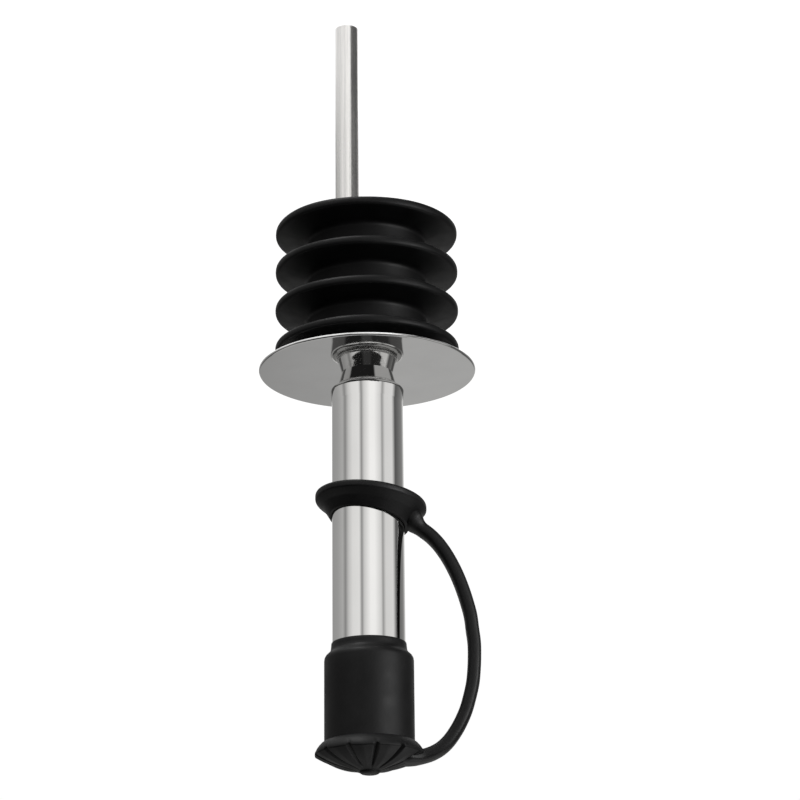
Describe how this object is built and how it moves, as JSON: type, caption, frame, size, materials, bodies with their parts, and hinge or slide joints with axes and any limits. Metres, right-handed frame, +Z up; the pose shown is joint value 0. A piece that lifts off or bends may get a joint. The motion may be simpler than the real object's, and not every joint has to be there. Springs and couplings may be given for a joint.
{
  "type": "liquor pour spout",
  "caption": "Bottle pourer with a steel spout and disc, finned rubber stopper, breather tube and a rubber dust cap held by a strap and ring.",
  "frame": {"origin": "centre of the disc's bottle-side face, where the pourer seats on the bottle's lip", "axes": "+Z up the spout's axis toward the dust cap, +X toward the side on which the breather tube runs, -X toward the strap at rest"},
  "size_m": [0.029, 0.029, 0.1055],
  "materials": {
    "polished_steel": "polished stainless steel",
    "disc_steel": "satin to mirror stainless steel",
    "brushed_steel": "drawn tube, brushed lengthwise",
    "stopper_rubber": "smooth moulded black rubber",
    "cap_rubber": "matt moulded black rubber"
  },
  "bodies": {
    "root": {"spout_tube": "polished_steel", "neck": "polished_steel", "disc": "disc_steel", "stem_tube": "brushed_steel", "stopper": "stopper_rubber", "breather_tube": "brushed_steel"},
    "ring": {"tether_ring": "cap_rubber", "tether_strap": "cap_rubber"},
    "cap": {"dust_cap": "cap_rubber"}
  },
  "joints": [
    {"name": "ring_swivel", "type": "hinge", "parent": "root", "child": "ring", "pos_m": [0, 0, 0.0186], "axis": [0, 0, 1], "continuous": true},
    {"name": "cap_slide", "type": "slide", "parent": "ring", "child": "cap", "axis": [0, 0, 1], "range_m": [0, 0.012], "deforming": ["tether_strap"]}
  ]
}
